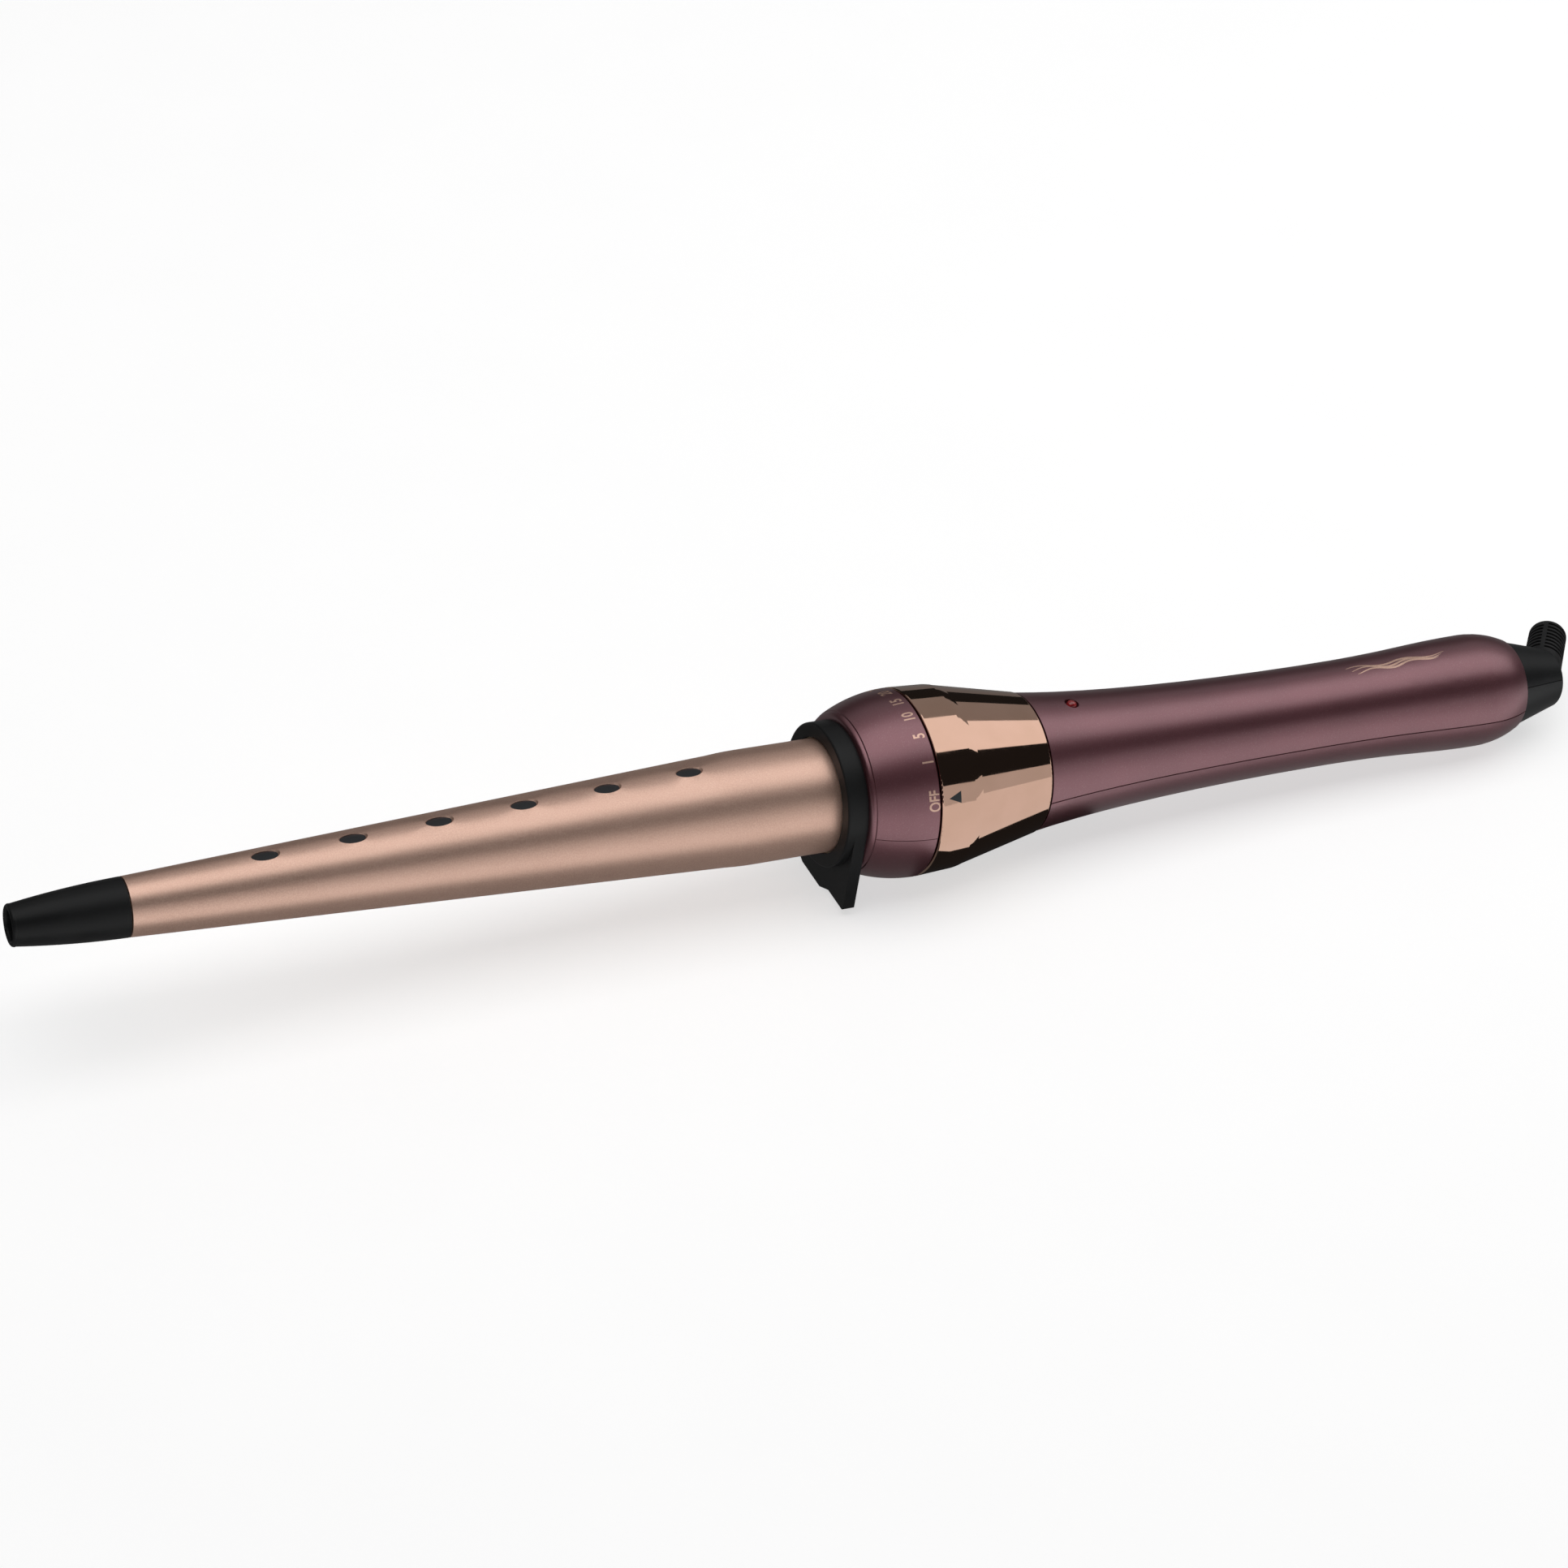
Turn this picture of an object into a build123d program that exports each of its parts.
"""Conical curling wand: one script, one STEP file per piece.

The pieces are modelled in the wand's own straight frame, in millimetres: X runs along the barrel's axis from
the tip to the cord, X = 0 is the front of the stand collar, +Z is the side with the barrel's inserts and the
on light, and -Z is the side with the stand's foot.  `placement` then lays the wand on the table, on the foot
and on the swell of the handle's end, with the origin at the centre of the foot's resting face.
"""
from build123d import *
import os
from math import asin, atan2, cos, degrees, hypot, radians, sin, sqrt

# ---- driving dimensions -------------------------------------------------------------------------------
TIP_X, JOINT_X = -177.0, -153.3            # front of the cool tip, joint between tip and barrel
JOINT_GAP = 0.3                            # the fine dark line between tip and barrel
JOINT_R, LAND_R = 6.23, 12.45              # barrel radius at the joint and at the root
CONE_END_X, CONE_END_R = -24.0, 12.15      # where the barrel's cone ends
LAND_X = -17.0                             # where its straight land starts
BARREL_WALL = 1.0
INSERT_X, INSERT_PITCH, INSERTS = -124.5, 18.6, 6
INSERT_HALF, INSERT_HALF_WIDTH = 2.75, 1.5    # half-length and half-width of an oval insert
INSERT_CLOCK, INSERT_DEPTH = 91.0, 0.3     # where the inserts are, how far they sit below the surface

BOSS_X, PLATE_X, NOSE_X = 0.2, 2.1, 4.9    # fronts of the stand collar, of its foot, and of the nose
PLATE_R = 15.9                             # the collar's radius, and half the foot's width
FOOT_DROP, TOE_DROP = 21.85, 19.95         # heel and toes of the foot below the axis
HEEL_HALF, HEEL_SLOPE = 8.5, 2.0           # half-width of the heel's root, and its run per unit of drop
NOSE_R, NOSE_END_X = 20.85, 19.7

DIAL_X, DIAL_END_X, DIAL_END_R = 20.05, 49.7, 15.95
DIAL_EDGE_X, DIAL_EDGE_R = 29.4, 20.3      # the soft edge between the dial's band and its cone
DIAL_OFF, DIAL_TURN = 25.0, 114.0          # clock angle of the OFF mark, and the dial's whole travel
DIAL_SETTINGS = (0.0, 23.0, 41.2, 59.4, 77.6, 95.8, DIAL_TURN)

STUB_X, STUB_R, STUB_BORE = 13.8, 13.6, 11.6
SNAP_X, SNAP_END_X, SNAP_R = 16.4, 17.4, 13.9    # ridge that holds the nose on the stub
HANDLE_X, HANDLE_R = 50.05, 15.65
HANDLE_STATIONS = ((82.0, 12.8), (117.0, 11.8), (146.0, 12.2))
CROWN_X, CROWN_R, CROWN_ARC = 168.5, 13.15, 24.0
HANDLE_END_X = 178.5
HANDLE_WALL = 2.6
LIGHT_X, LIGHT_R, LIGHT_DISH_R = 60.4, 1.25, 1.65    # the lens and the dish that it stands in

COLLAR_X, COLLAR_R = 178.85, 10.3          # front of the swivel collar
COLLAR_END_X, COLLAR_END_R = 191.8, 6.75
SWIVEL_SEAM = 30.0                         # clock angle of the collar's split
PIVOT_X = 189.8                            # the axis that the boot tilts on
TRUNNION_R, TRUNNION_END = 1.15, 6.1       # the boot's pivot pins, and how far they reach from its middle
BOOT_CLOCK, BOOT_TILT, BOOT_TILT_MAX = 177.0, 51.0, 54.0
BOOT_R, BOOT_END_R, BOOT_LENGTH = 4.65, 4.45, 19.1
CORD_R = 3.25                              # bore for a 6.5 mm cord
CORD_BORE_X, CORD_BORE_END_X = 6.9, 18.7   # its straight part, from the pivot along the boot

RUN = 0.05                                 # radial clearance of a running fit
GAP = 0.35                                 # clearance between faces that turn past each other
SPLIT = 0.15                               # half-width of the visible parting groove
SCREW_X = (72.0, 150.0)                    # the two handle screws
BOARD_X, BOARD_END_X, BOARD_TOP, BOARD_THICKNESS = 56.0, 142.0, -0.4, 1.6
REACH = 60.0                               # longer than the wand is wide


# ---- helpers ------------------------------------------------------------------------------------------
def rod(x0, x1, radius, y=0.0, z=0.0):
    """A cylinder along X."""
    return Pos((x0 + x1) / 2, y, z) * Rot(0, 90, 0) * Cylinder(radius, x1 - x0)


def ring(x0, x1, outer, inner):
    return rod(x0, x1, outer) - rod(x0 - 1, x1 + 1, inner)


def turned(*edges):
    """The solid of revolution about X of an outline drawn as (x, radius)."""
    return revolve(make_face(edges), Axis.X)


def turned_points(*points):
    return revolve(make_face(Polyline(*points, close=True)), Axis.X)


def clock(angle):
    """Turns what is built at the top of the wand to a clock angle: 0 is -Y, 90 is +Z, 180 is +Y."""
    return Rot(90 - angle, 0, 0)


def sector(x0, x1, outer, inner, start, end):
    """A stretch of a ring between two clock angles."""
    face = make_face(Polyline((x0, inner), (x1, inner), (x1, outer), (x0, outer), close=True))
    return Rot(180 - end, 0, 0) * revolve(face, Axis.X, end - start)


def peg(x, angle, radius, low, high):
    """A cylinder along a radius, from radius low to radius high."""
    return clock(angle) * Pos(x, 0, (low + high) / 2) * Cylinder(radius, high - low)


def slab(x0, x1, y0, y1, z0, z1):
    return Pos((x0 + x1) / 2, (y0 + y1) / 2, (z0 + z1) / 2) * Box(x1 - x0, y1 - y0, z1 - z0)


def wire(radius, bend, *points):
    """A round wire along straight runs with rounded corners."""
    path = FilletPolyline(*points, radius=bend)
    return sweep((path ^ 0) * Circle(radius), path=path)


# ---- tip and barrel -----------------------------------------------------------------------------------
def barrel_outline(inset):
    """The barrel's cone and land as a solid, inset from its surface."""
    end = 12.2
    return turned(
        Line((JOINT_X, 0), (JOINT_X, JOINT_R - inset)),
        Line((JOINT_X, JOINT_R - inset), (CONE_END_X, CONE_END_R - inset)),
        ThreePointArc((CONE_END_X, CONE_END_R - inset), ((CONE_END_X + LAND_X) / 2, 12.38 - inset),
                      (LAND_X, LAND_R - inset)),
        Line((LAND_X, LAND_R - inset), (end, LAND_R - inset)),
        Line((end, LAND_R - inset), (end, 0)),
        Line((end, 0), (JOINT_X, 0)))


def insert_places():
    return [INSERT_X + INSERT_PITCH * i for i in range(INSERTS)]


def oval_prism(x, play):
    """The oval of an insert, as a prism along a radius."""
    oval = Ellipse(INSERT_HALF + play, INSERT_HALF_WIDTH + play)
    return clock(INSERT_CLOCK) * Pos(x, 0, 0) * extrude(oval, LAND_R + 2)


def oval_rim(x):
    """The bevel around an insert's hole, flaring outwards through the barrel's surface."""
    radius = JOINT_R + (CONE_END_R - JOINT_R) * (x - JOINT_X) / (CONE_END_X - JOINT_X)
    flare = 0.6
    low = Pos(0, 0, radius - 0.3) * Ellipse(INSERT_HALF + RUN, INSERT_HALF_WIDTH + RUN)
    high = Pos(0, 0, radius + 0.3) * Ellipse(INSERT_HALF + flare, INSERT_HALF_WIDTH + flare)
    return clock(INSERT_CLOCK) * Pos(x, 0, 0) * loft([low, high])


def barrel_tube():
    tube = barrel_outline(0) - barrel_outline(BARREL_WALL) + ring(11.2, 12.2, 13.4, LAND_R - BARREL_WALL)
    for x in insert_places():
        tube -= oval_prism(x, RUN) + oval_rim(x)
    return tube


def barrel_dots():
    band = barrel_outline(INSERT_DEPTH) - barrel_outline(BARREL_WALL)
    return Compound([band & oval_prism(x, 0) for x in insert_places()])


def cool_tip():
    hole, rear, floor = 3.1, JOINT_X - JOINT_GAP, -163.3
    shell = turned(
        Line((floor, 0), (floor, hole)),
        Line((floor, hole), (TIP_X + 0.6, hole)),
        ThreePointArc((TIP_X + 0.6, hole), (TIP_X, hole + 0.6), (TIP_X + 0.9, hole + 1.25)),
        ThreePointArc((TIP_X + 0.9, hole + 1.25), (-165.5, 5.56), (rear, JOINT_R)),
        Line((rear, JOINT_R), (rear, 0)),
        Line((rear, 0), (floor, 0)))
    return shell - rod(-159.5, rear + 1, 3.7) - rod(WASHER_X, rear + 1, WASHER_R) - rod(floor - 1, rear, 1.1)


WASHER_X, WASHER_R = -155.0, 5.0           # the insulating washer, sunk in the tip's rear face


def tip_insulator():
    return ring(WASHER_X, JOINT_X, WASHER_R - RUN, 3.7)


def barrel_end_plug():
    spigot = rod(-159.5, JOINT_X, 3.65) - rod(-161, JOINT_X, 0.92)
    seat = rod(JOINT_X, -147.0, 5.08) & barrel_outline(BARREL_WALL)
    return spigot + (seat - rod(JOINT_X - 1, -146.0, 0.92))


def tip_screw():
    head = fillet(rod(-164.6, -163.3, 2.2).edges().group_by(Axis.X)[0], 0.5)
    slot = slab(-164.9, -164.1, -0.35, 0.35, -3, 3)
    cross = slab(-164.9, -164.1, -3, 3, -0.35, 0.35)
    return head + rod(-163.3, -149.0, 0.88) - slot - cross


# ---- heater -------------------------------------------------------------------------------------------
PLATE_HALF = 1.25                          # half the thickness of the heating element
SPREADER_X, SPREADER_END_X = -112.0, -26.0


def heat_spreader(side):
    """One hollow D-shaped half, flat on the element and a slip fit in the barrel's cone."""
    wall, play = 1.2, 0.2
    outer = barrel_outline(BARREL_WALL + play) & slab(
        SPREADER_X, SPREADER_END_X, -REACH, REACH, PLATE_HALF, REACH)
    hollow = barrel_outline(BARREL_WALL + play + wall) & slab(
        SPREADER_X - 1, SPREADER_END_X + 1, -REACH, REACH, PLATE_HALF + wall, REACH)
    half = outer - hollow
    return half if side > 0 else mirror(half, Plane.XY)


def heater_plate():
    tabs = [slab(SPREADER_END_X - 2, -14.0, y - 1.1, y + 1.1, -0.4, 0.4) for y in (-3.0, 3.0)]
    return slab(-106.0, SPREADER_END_X, -4.4, 4.4, -PLATE_HALF, PLATE_HALF) + tabs


def heater_leads():
    radius, z = 0.65, 0.25
    return Compound([rod(-14.0, 60.0, radius, 3.0, z), rod(-14.0, -10.0, radius, -3.0, z),
                     rod(0.0, 60.0, radius, -3.0, z)])


def thermal_fuse():
    return fillet(rod(-10.0, 0.0, 1.7, -3.0, 0.25).edges(), 0.4)


def thermistor():
    height = 3.9
    bead = Pos(-60.0, 0, height) * Sphere(1.2)
    lead = wire(0.4, 4.0, (-60.0, 0, height), (46.0, 0, height), (56.5, 0, 0.0), (66.0, 0, 0.0))
    return bead + lead


# ---- collar, nose and barrel mounting -----------------------------------------------------------------
def barrel_sleeve():
    return ring(1.1, 11.15, 13.3, LAND_R + RUN)


def barrel_clamp():
    plate = ring(12.2, STUB_X, 13.4, 6.4)
    for z in (-9.2, 9.2):
        plate -= rod(12.0, 14.0, 1.15, 0, z)
    return plate


def clamp_screws():
    screws = []
    for z in (-9.2, 9.2):
        head = fillet(rod(10.9, 12.2, 1.9, 0, z).edges().group_by(Axis.X)[0], 0.4)
        screws.append(head + rod(12.2, 19.5, 0.95, 0, z) - slab(10.8, 11.5, -1.5, 1.5, z - 0.25, z + 0.25))
    return Compound(screws)


def foot_outline():
    """Seen from the tip: as wide as the collar, flat toes, and a low heel that stands on the table."""
    over = 1.0
    side = [(PLATE_R, 0), (PLATE_R, -TOE_DROP), (HEEL_HALF, -TOE_DROP)]
    side.append((HEEL_HALF - HEEL_SLOPE * (FOOT_DROP - TOE_DROP + over), -FOOT_DROP - over))
    return Polyline(*side, *[(-y, z) for y, z in reversed(side)], close=True)


def stand_collar():
    """Collar with the stand's foot, and the sleeve that pushes into the nose."""
    disc = fillet(rod(BOSS_X, NOSE_X, PLATE_R).edges().group_by(Axis.X)[0], 0.5)
    foot = Pos(PLATE_X, 0, 0) * extrude(Plane.YZ * make_face(foot_outline()), NOSE_X - PLATE_X)
    foot &= table_side()
    toe_ends = [edge for edge in foot.edges().filter_by(Axis.X)
                if abs(edge.center().Y) > PLATE_R - 0.01 and edge.center().Z < 0.5 - TOE_DROP]
    body = disc + fillet(toe_ends, 0.5) + rod(NOSE_X, 11.0, 14.6)
    return body - rod(0, 12, 13.35) + ring(BOSS_X, 1.05, 14.0, LAND_R + GAP)


NOSE_EDGE_X, NOSE_EDGE_R = 6.15, 17.75     # the bevel at the nose's front


def nose_swell(inset):
    """The nose behind its bevel as a solid, inset from its surface."""
    end = NOSE_END_X - 0.3
    return turned(
        Line((NOSE_EDGE_X, 0), (NOSE_EDGE_X, NOSE_EDGE_R - inset)),
        ThreePointArc((NOSE_EDGE_X, NOSE_EDGE_R - inset), (12.0, 19.85 - inset), (end, NOSE_R - inset)),
        Line((end, NOSE_R - inset), (end, 0)),
        Line((end, 0), (NOSE_EDGE_X, 0)))


def nose_ring():
    outer = turned(
        Line((NOSE_X, 0), (NOSE_X, 16.2)),
        ThreePointArc((NOSE_X, 16.2), (5.2, 17.05), (6.0, 17.5)),
        Line((6.0, 17.5), (NOSE_EDGE_X, NOSE_EDGE_R)),
        ThreePointArc((NOSE_EDGE_X, NOSE_EDGE_R), (12.0, 19.85), (NOSE_END_X - 0.3, NOSE_R)),
        Line((NOSE_END_X - 0.3, NOSE_R), (NOSE_END_X, NOSE_R - 0.3)),
        Line((NOSE_END_X, NOSE_R - 0.3), (NOSE_END_X, 0)),
        Line((NOSE_END_X, 0), (NOSE_X, 0)))
    board_seat = 17.9
    bore = rod(NOSE_X - 1, 11.2, 14.65) + rod(11.0, NOSE_END_X + 1, STUB_R + RUN)
    bore += rod(board_seat, NOSE_END_X + 1, 18.65) + rod(SNAP_X - 0.1, SNAP_END_X + 0.1, SNAP_R + RUN)
    hollow = turned_points((9.0, 15.6), (9.0, 16.4), (13.0, 17.9), (board_seat + 0.1, 17.9),
                           (board_seat + 0.1, 15.6))
    mould_line = slab(NOSE_EDGE_X, NOSE_END_X - 0.3, -REACH, REACH, -0.08, 0.08) - nose_swell(0.12)
    return outer - bore - hollow - mould_line


def track_board():
    board = ring(17.9, 19.1, 18.55, STUB_R + GAP)
    return board + sector(19.05, 19.2, 17.6, 15.4, 60, 330)


# ---- heat dial ----------------------------------------------------------------------------------------
WEB_X, WEB_END_X, STOP_END_X, LAND_START_X = 23.5, 26.0, 29.0, 45.5
STOP_RIB = (194.0, 206.0)                  # clock angles of the stop rib on the lower housing
STOP_PLAY = 1.25                           # degrees left between rib and stop at each end


def dial_outline():
    return turned(
        Line((DIAL_X, 0), (DIAL_X, 20.45)),
        ThreePointArc((DIAL_X, 20.45), (DIAL_X + 0.12, 20.73), (DIAL_X + 0.4, NOSE_R)),
        Line((DIAL_X + 0.4, NOSE_R), (DIAL_EDGE_X - 1.0, DIAL_EDGE_R + 0.12)),
        ThreePointArc((DIAL_EDGE_X - 1.0, DIAL_EDGE_R + 0.12), (DIAL_EDGE_X, DIAL_EDGE_R - 0.03),
                      (DIAL_EDGE_X + 1.0, DIAL_EDGE_R - 0.3)),
        Line((DIAL_EDGE_X + 1.0, DIAL_EDGE_R - 0.3), (DIAL_END_X - 0.4, DIAL_END_R)),
        ThreePointArc((DIAL_END_X - 0.4, DIAL_END_R), (DIAL_END_X - 0.1, DIAL_END_R - 0.15),
                      (DIAL_END_X, DIAL_END_R - 0.45)),
        Line((DIAL_END_X, DIAL_END_R - 0.45), (DIAL_END_X, 0)),
        Line((DIAL_END_X, 0), (DIAL_X, 0)))


def pointer_prism():
    """The triangle of the pointer, as a prism along a radius; its point is towards the tip."""
    corners = Polyline((21.7, 0), (24.7, 1.35), (24.7, -1.35), close=True)
    return clock(DIAL_OFF) * Pos(0, 0, 20.1) * extrude(make_face(corners), 2.0)


def heat_dial():
    dial = dial_outline() - rod(DIAL_X - 1, DIAL_END_X + 1, STUB_R + RUN)
    dial -= ring(DIAL_X - 1, WEB_X, 18.5, STUB_R)
    dial -= turned_points((STOP_END_X, 13.0), (STOP_END_X, 18.1), (30.5, 17.8), (LAND_START_X, 14.8),
                          (LAND_START_X, 13.0))
    dial -= ring(WEB_END_X, STOP_END_X + 0.1, 13.95, 13.0)
    window_start = STOP_RIB[0] - DIAL_TURN - STOP_PLAY
    dial -= sector(WEB_END_X, STOP_END_X + 0.1, 18.1, 13.0, window_start, STOP_RIB[1] + STOP_PLAY)
    dial -= sector(LAND_START_X - 0.1, DIAL_END_X + 1, 15.2, 13.0, 300, 315)    # lets the stop rib through
    for setting in DIAL_SETTINGS:
        dial -= peg((WEB_X + WEB_END_X) / 2, 90 - setting, 0.9, 13.0, 14.0)
    return dial - pointer_prism()


def dial_pointer():
    return pointer_prism() & dial_outline()


def dial_wiper():
    """A leaf on the dial's web with two fingers that reach forward to the track."""
    leaf = sector(23.25, WEB_X, 17.4, 15.2, 200, 250)
    for start in (205, 237):
        finger = make_face(Polyline((23.3, 15.6), (23.5, 15.9), (19.55, 17.0), (19.3, 16.8), close=True))
        leaf += Rot(180 - start - 8, 0, 0) * revolve(finger, Axis.X, 8)
    return leaf


def detent_spring():
    middle = (WEB_X + WEB_END_X) / 2
    leaf = sector(middle - 1, middle + 1, STUB_BORE - 0.02, STUB_BORE - 0.32, 65, 115)
    pin = peg(middle, 90, 0.8, STUB_BORE - 0.2, STUB_R - RUN)
    return leaf + fillet(pin.edges().group_by(Axis.Z)[-1], 0.3)


# ---- handle -------------------------------------------------------------------------------------------
def handle_outline(inset):
    """The handle behind the dial as a solid, inset from its surface."""
    end_r = CROWN_R - CROWN_ARC + sqrt(CROWN_ARC ** 2 - (HANDLE_END_X - CROWN_X) ** 2)
    half = (HANDLE_END_X - CROWN_X) / 2
    middle = (CROWN_X + half, CROWN_R - CROWN_ARC + sqrt(CROWN_ARC ** 2 - half ** 2) - inset)
    stations = [(x, r - inset) for x, r in ((HANDLE_X, HANDLE_R), *HANDLE_STATIONS, (CROWN_X, CROWN_R))]
    return turned(
        Line((HANDLE_X, 0), stations[0]),
        Spline(*stations, tangents=[(1, -0.14), (1, 0)]),
        ThreePointArc(stations[-1], middle, (HANDLE_END_X, end_r - inset)),
        Line((HANDLE_END_X, end_r - inset), (HANDLE_END_X, 0)),
        Line((HANDLE_END_X, 0), (HANDLE_X, 0)))


def handle_shell():
    """Both halves in one: the handle with the stub that carries dial and nose, hollow, with no posts."""
    stub = rod(STUB_X, HANDLE_X, STUB_R) + rod(SNAP_X, SNAP_END_X, SNAP_R)
    shell = handle_outline(0) + stub
    hollow = handle_outline(HANDLE_WALL) & rod(HANDLE_X + 2.4, 172.5, REACH)
    shell = shell - hollow - rod(STUB_X - 1, HANDLE_X + 3, STUB_BORE)
    shell -= rod(172.0, HANDLE_END_X + 1, NECK_R + RUN)
    for z in (-9.2, 9.2):
        shell += rod(STUB_X, 20.0, 2.6, 0, z) & rod(STUB_X, 20.0, 12.0)
    for z in (-9.2, 9.2):
        shell -= rod(STUB_X - 1, 20.5, 0.97, 0, z)
    groove = slab(HANDLE_X + 0.01, HANDLE_END_X + 1, -REACH, REACH, -SPLIT, SPLIT) - handle_outline(0.3)
    return shell - groove


def light_hole():
    """Through hole for the lens, and the shallow dish around it."""
    return peg(LIGHT_X, 90, LIGHT_R + RUN, 10, 20) + peg(LIGHT_X, 90, LIGHT_DISH_R, 13.1, 20)


def upper_housing():
    half = handle_shell() & slab(0, 200, -REACH, REACH, 0, REACH)
    for x in SCREW_X:
        post = Pos(x, 0, 10.0 - 3.2) * Cylinder(2.8, 20)
        half += post & handle_outline(1.0)
    for x in SCREW_X:
        half -= Pos(x, 0, 0) * Cylinder(1.02, 8.4)
    half -= peg((WEB_X + WEB_END_X) / 2, 90, 0.95, 10, 15)
    return half - light_hole()


def lower_housing():
    half = handle_shell() & slab(0, 200, -REACH, REACH, -REACH, 0)
    half += sector(WEB_END_X + 0.4, STOP_END_X - 0.4, 15.0, STUB_R - 0.5, *STOP_RIB)
    inside = handle_outline(1.0)
    for x in SCREW_X:
        half += (Pos(x, 0, -3.2 - 10.0) * Cylinder(2.9, 20)) & inside
    for y in (-7.8, 6.8):
        rail = slab(60.0, 140.0, y, y + 1.0, -REACH, BOARD_TOP - BOARD_THICKNESS)
        half += rail & inside
    half += slab(157.5, 166.5, -4.6, 4.6, -REACH, BRUSH_SEAT) & inside
    for x in SCREW_X:
        half -= Pos(x, 0, -10) * Cylinder(1.15, 20)
        half -= Pos(x, 0, -6.4 - 10) * Cylinder(2.4, 20)
    return half


def housing_screws():
    screws = []
    for x in SCREW_X:
        head = fillet((Pos(x, 0, -7.2) * Cylinder(2.1, 1.6)).edges().group_by(Axis.Z)[0], 0.4)
        shank = Pos(x, 0, -1.7) * Cylinder(1.0, 9.4)
        recess = slab(x - 1.4, x + 1.4, -0.3, 0.3, -8.1, -7.2) + slab(x - 0.3, x + 0.3, -1.4, 1.4, -8.1, -7.2)
        screws.append(head + shank - recess)
    return Compound(screws)


def indicator_lens():
    """A domed lens on a collar, pushed up through the upper housing from inside."""
    seat, rim = 10.9, 13.7
    body = Pos(0, 0, (seat + rim) / 2) * Cylinder(LIGHT_R, rim - seat)
    body += Pos(0, 0, seat + 0.25) * Cylinder(2.2, 0.5) + Pos(0, 0, rim) * Sphere(LIGHT_R)
    return Pos(LIGHT_X, 0, 0) * body


# ---- electronics --------------------------------------------------------------------------------------
def control_board():
    board = slab(BOARD_X, BOARD_END_X, -8.2, 8.2, BOARD_TOP - BOARD_THICKNESS, BOARD_TOP)
    return board - Pos(SCREW_X[0], 0, 0) * Cylinder(3.1, 10)


def indicator_led():
    body = Pos(LIGHT_X, 0, 7.4) * Cylinder(1.4, 4.0) + Pos(LIGHT_X, 0, 9.4) * Sphere(1.4)
    for y in (-0.7, 0.7):
        body += Pos(LIGHT_X + 1.0, y, 2.6) * Cylinder(0.25, 6.0)
    return body


def triac():
    body = slab(112.0, 120.0, -4.5, 4.5, BOARD_TOP, BOARD_TOP + 3.0)
    return body + slab(120.0, 125.0, -4.0, 4.0, BOARD_TOP, BOARD_TOP + 1.2)


def capacitor():
    return fillet(slab(92.0, 105.0, -3.0, 3.0, BOARD_TOP, BOARD_TOP + 7.0).edges().filter_by(Axis.Z), 0.8)


def control_chip():
    chip = slab(80.0, 85.0, -2.0, 2.0, BOARD_TOP, BOARD_TOP + 1.5)
    for i in range(4):
        x = 80.6 + 1.27 * i
        chip += slab(x - 0.2, x + 0.2, -3.1, 3.1, BOARD_TOP, BOARD_TOP + 0.25)
    return chip


def fuse_resistor():
    return fillet(rod(128.0, 137.0, 1.8, 0, BOARD_TOP + 1.8).edges(), 0.5)


def board_leads():
    radius, low = 0.6, BRUSH_SEAT + 0.9
    leads = []
    for side, end in ((1, 160.4), (-1, 165.4)):
        leads.append(wire(radius, 4.0, (134.0, 5.0 * side, 0.2), (146.5, 5.2 * side, 0.2),
                          (155.5, 4.2 * side, low), (end, 4.2 * side, low)))
    return Compound(leads)


# ---- swivel -------------------------------------------------------------------------------------------
NECK_R, NECK_BORE = 7.05, 5.0
SLIP_RING_X = (159.6, 164.6)               # middles of the two slip rings
CARRIER_R, SLIP_RING_R = 4.4, 5.6
BRUSH_SEAT = -8.9                          # height of the ledge that the brushes sit on


def trunnions(radius, end):
    """Both pivot pins of the boot in one, across its middle."""
    return Rot(90, 0, 0) * Cylinder(radius, 2 * end)


def swivel_cone(inset):
    """The collar's cone, inset, to leave only a shallow groove at its seam."""
    return turned_points((COLLAR_X, 0), (COLLAR_X, COLLAR_R - inset), (COLLAR_END_X, COLLAR_END_R - inset),
                         (COLLAR_END_X, 0))


def swivel_collar():
    """Both halves in one: outer cone, neck and flange, sockets for the boot's pins, and its side notch."""
    cone = turned(
        Line((COLLAR_X, 0), (COLLAR_X, COLLAR_R)),
        Line((COLLAR_X, COLLAR_R), (COLLAR_END_X - 0.6, COLLAR_END_R + 0.16)),
        ThreePointArc((COLLAR_END_X - 0.6, COLLAR_END_R + 0.16), (COLLAR_END_X - 0.15, COLLAR_END_R - 0.1),
                      (COLLAR_END_X, COLLAR_END_R - 0.5)),
        Line((COLLAR_END_X, COLLAR_END_R - 0.5), (COLLAR_END_X, 0)),
        Line((COLLAR_END_X, 0), (COLLAR_X, 0)))
    body = cone + rod(169.6, COLLAR_X, NECK_R) + rod(169.6, 172.15, 9.0)
    body -= rod(169.0, COLLAR_END_X + 1, NECK_BORE)
    notch_x, notch_r = PIVOT_X + 1.6, NECK_BORE + 0.2
    body -= peg(notch_x, BOOT_CLOCK, notch_r, 0, 15)
    body -= clock(BOOT_CLOCK) * slab(notch_x - 0.5, COLLAR_END_X + 1, -notch_r, notch_r, 0, 15)
    body -= clock(BOOT_CLOCK) * Pos(PIVOT_X, 0, 0) * trunnions(TRUNNION_R + RUN, TRUNNION_END + GAP)
    seam = clock(SWIVEL_SEAM + 90) * slab(COLLAR_X - 1, 200, -REACH, REACH, -0.1, 0.1)
    return body - (seam - rod(COLLAR_X - 2, 200, COLLAR_END_R - 0.35) - swivel_cone(0.25))


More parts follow.
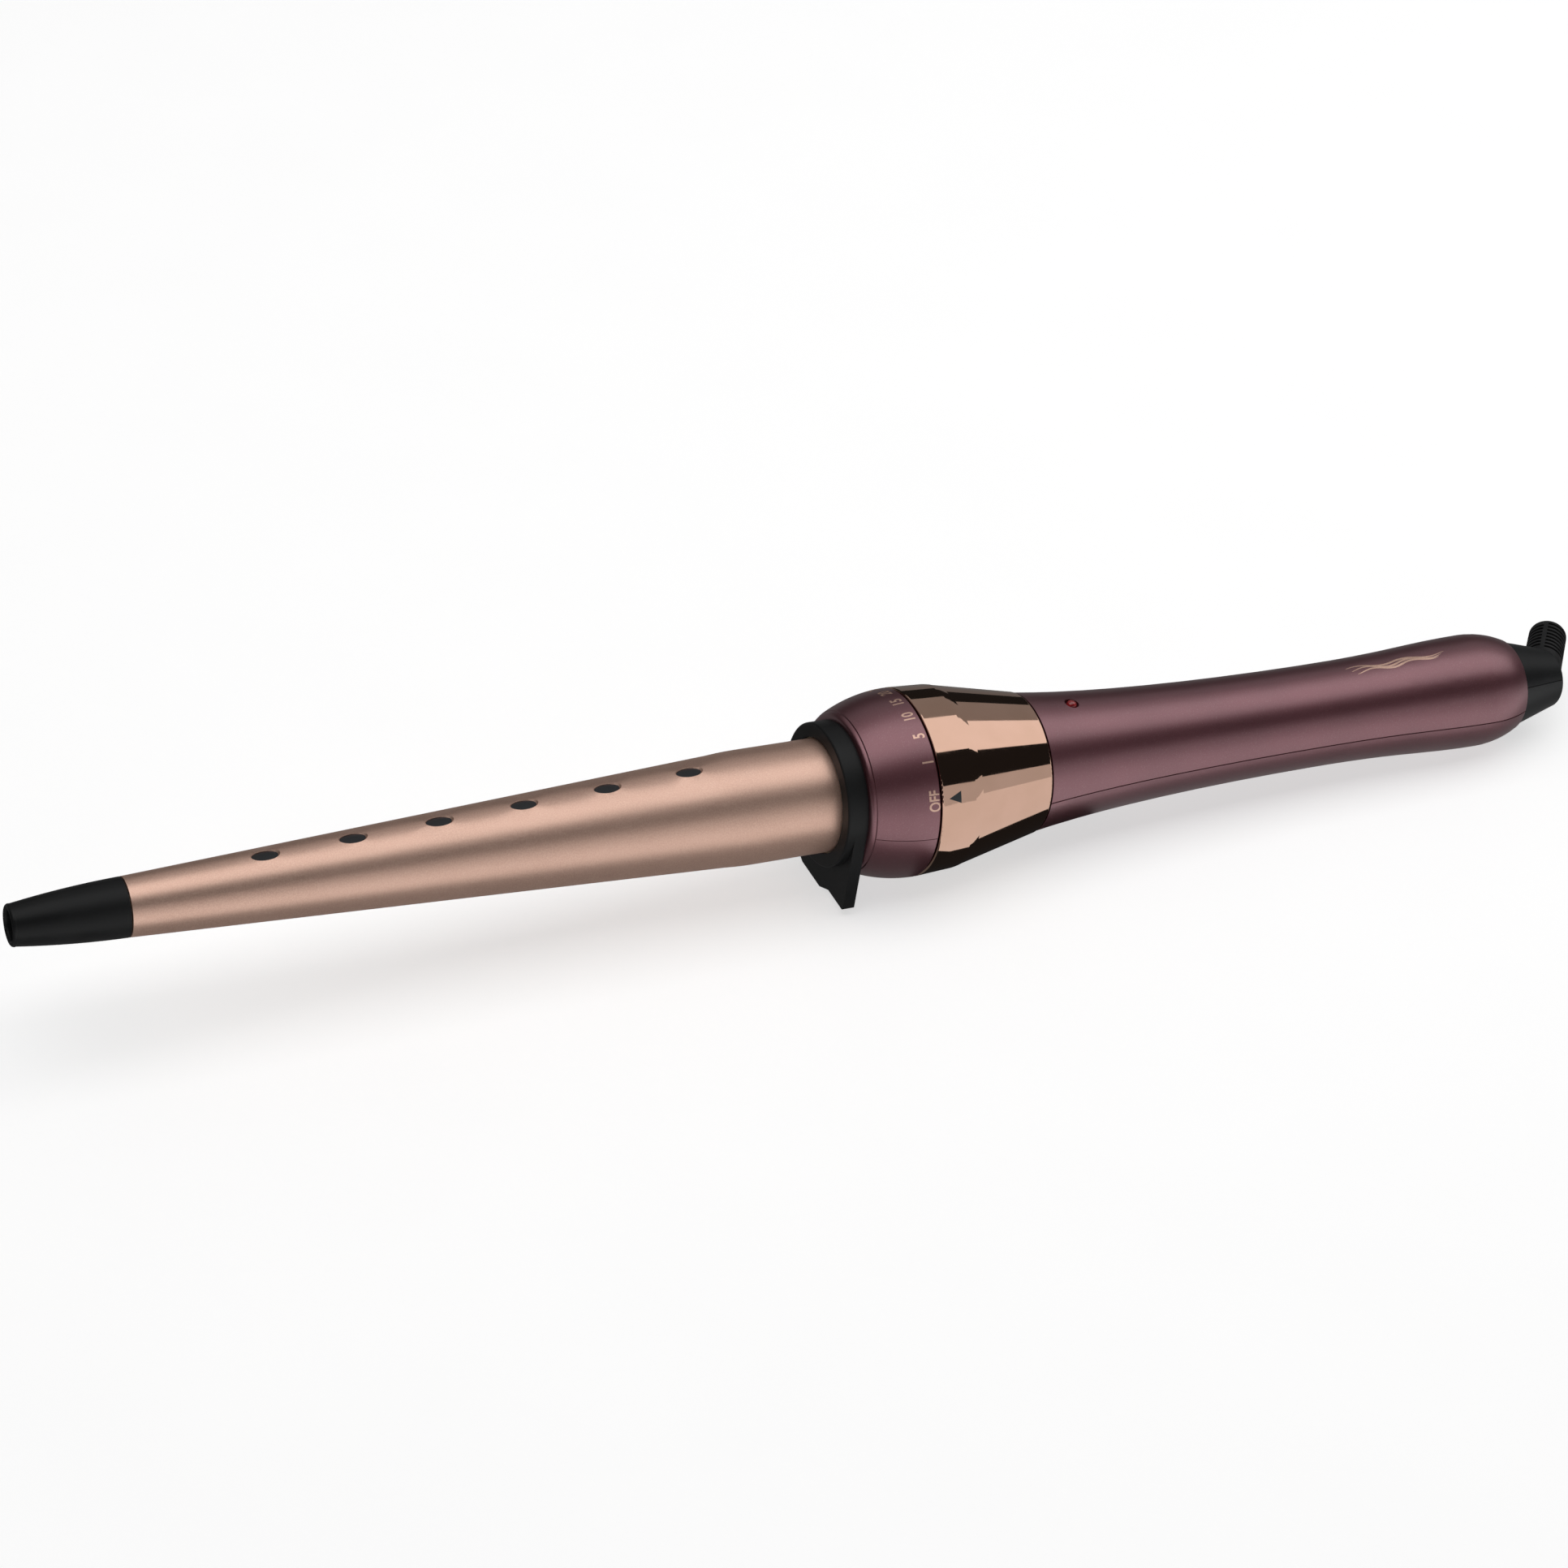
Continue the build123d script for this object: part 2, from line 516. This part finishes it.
def swivel_half(middle):
    return swivel_collar() & (clock(middle) * slab(160, 200, -REACH, REACH, 0, REACH))


def slip_ring_carrier():
    body = rod(156.5, 176.0, CARRIER_R) + rod(169.6, 176.0, NECK_BORE - 0.02)
    return body - rod(156.0, 177.0, 2.4)


def slip_rings():
    return Compound([ring(x - 1.1, x + 1.1, SLIP_RING_R, CARRIER_R + 0.02) for x in SLIP_RING_X])


def brush_contacts():
    """Two sprung leaves, each bent up from its base to rub on a slip ring."""
    outline = Polyline((4.8, BRUSH_SEAT), (-3.0, BRUSH_SEAT), (1.0, -5.7), (2.0, -5.7), (2.0, -6.0),
                       (1.2, -6.0), (-2.3, BRUSH_SEAT + 0.3), (4.8, BRUSH_SEAT + 0.3), close=True)
    leaf = extrude(Plane.YZ * make_face(outline), 0.8, both=True)
    return Compound([Pos(SLIP_RING_X[0], 0, 0) * leaf, Pos(SLIP_RING_X[1], 0, 0) * mirror(leaf, Plane.XZ)])


def cord_boot():
    """Round root with pivot pins and slotted sleeve, built along Z from the pivot, then tilted into place."""
    ribs, pitch, first, slot = 8, 1.42, 7.2, 0.7
    sleeve = Pos(0, 0, BOOT_LENGTH / 2) * Cone(BOOT_R, BOOT_END_R, BOOT_LENGTH)
    sleeve = fillet(sleeve.edges().group_by(Axis.Z)[-1], 1.1)
    for side, shift in ((1, 0.0), (-1, pitch / 2)):
        for i in range(ribs - (side < 0)):
            z = first + shift + pitch * i
            band = Pos(0, 0, z) * (Cylinder(BOOT_R + 1, slot) - Cylinder(BOOT_R - 0.65, slot))
            sleeve -= band & (Rot(0, 0, -18) * Pos(side * (REACH / 2 + 0.5), 0, z) * Box(REACH, REACH, slot))
    root = -3.3
    boot = sleeve + Sphere(BOOT_R) + trunnions(TRUNNION_R, TRUNNION_END)
    boot -= Pos(0, 0, root - REACH / 2) * Box(REACH, REACH, REACH)
    passage = turned_points(
        (root - 1, 0), (root - 1, 2.9), (root, 2.9), (root + 1, 2.2), (CORD_BORE_X - 0.6, 2.2),
        (CORD_BORE_X, CORD_R), (CORD_BORE_END_X, CORD_R), (BOOT_LENGTH + 0.1, CORD_R + 0.5), (BOOT_LENGTH + 0.1, 0))
    boot -= Rot(0, -90, 0) * passage
    return clock(BOOT_CLOCK) * Pos(PIVOT_X, 0, 0) * Rot(0, 90 - BOOT_TILT, 0) * boot


# ---- placement on the table ---------------------------------------------------------------------------
FOOT_X = (PLATE_X + NOSE_X) / 2


def table_slope():
    """Degrees by which the table rises towards the cord in the wand's frame: the tangent from the foot to
    the round swell at the handle's end."""
    run, rise = CROWN_X - FOOT_X, FOOT_DROP - (CROWN_R - CROWN_ARC)
    return degrees(atan2(rise, run) - asin(CROWN_ARC / hypot(run, rise)))


def table_side():
    """Everything above the table, in the wand's frame."""
    return Pos(FOOT_X, 0, -FOOT_DROP) * Rot(0, -table_slope(), 0) * slab(-50, 50, -REACH, REACH, 0, 2 * REACH)


placement = Rot(0, table_slope(), 0) * Pos(-FOOT_X, 0, FOOT_DROP)

PIECES = {
    "cool_tip": cool_tip, "tip_insulator": tip_insulator, "barrel_end_plug": barrel_end_plug,
    "tip_screw": tip_screw, "barrel_tube": barrel_tube, "barrel_dots": barrel_dots,
    "heat_spreader_upper": lambda: heat_spreader(1), "heat_spreader_lower": lambda: heat_spreader(-1),
    "heater_plate": heater_plate, "heater_leads": heater_leads, "thermal_fuse": thermal_fuse,
    "thermistor": thermistor, "barrel_sleeve": barrel_sleeve, "barrel_clamp": barrel_clamp,
    "clamp_screws": clamp_screws, "stand_collar": stand_collar, "nose_ring": nose_ring,
    "track_board": track_board, "heat_dial": heat_dial, "dial_pointer": dial_pointer,
    "dial_wiper": dial_wiper, "detent_spring": detent_spring, "upper_housing": upper_housing,
    "lower_housing": lower_housing, "housing_screws": housing_screws, "indicator_lens": indicator_lens,
    "control_board": control_board, "indicator_led": indicator_led, "triac": triac,
    "capacitor": capacitor, "control_chip": control_chip, "fuse_resistor": fuse_resistor,
    "board_leads": board_leads, "swivel_collar_upper": lambda: swivel_half(SWIVEL_SEAM + 90),
    "swivel_collar_lower": lambda: swivel_half(SWIVEL_SEAM - 90), "slip_ring_carrier": slip_ring_carrier,
    "slip_rings": slip_rings, "brush_contacts": brush_contacts, "cord_boot": cord_boot,
}

os.makedirs("parts", exist_ok=True)
for name, build in PIECES.items():
    export_step(placement * build(), f"parts/{name}.step")
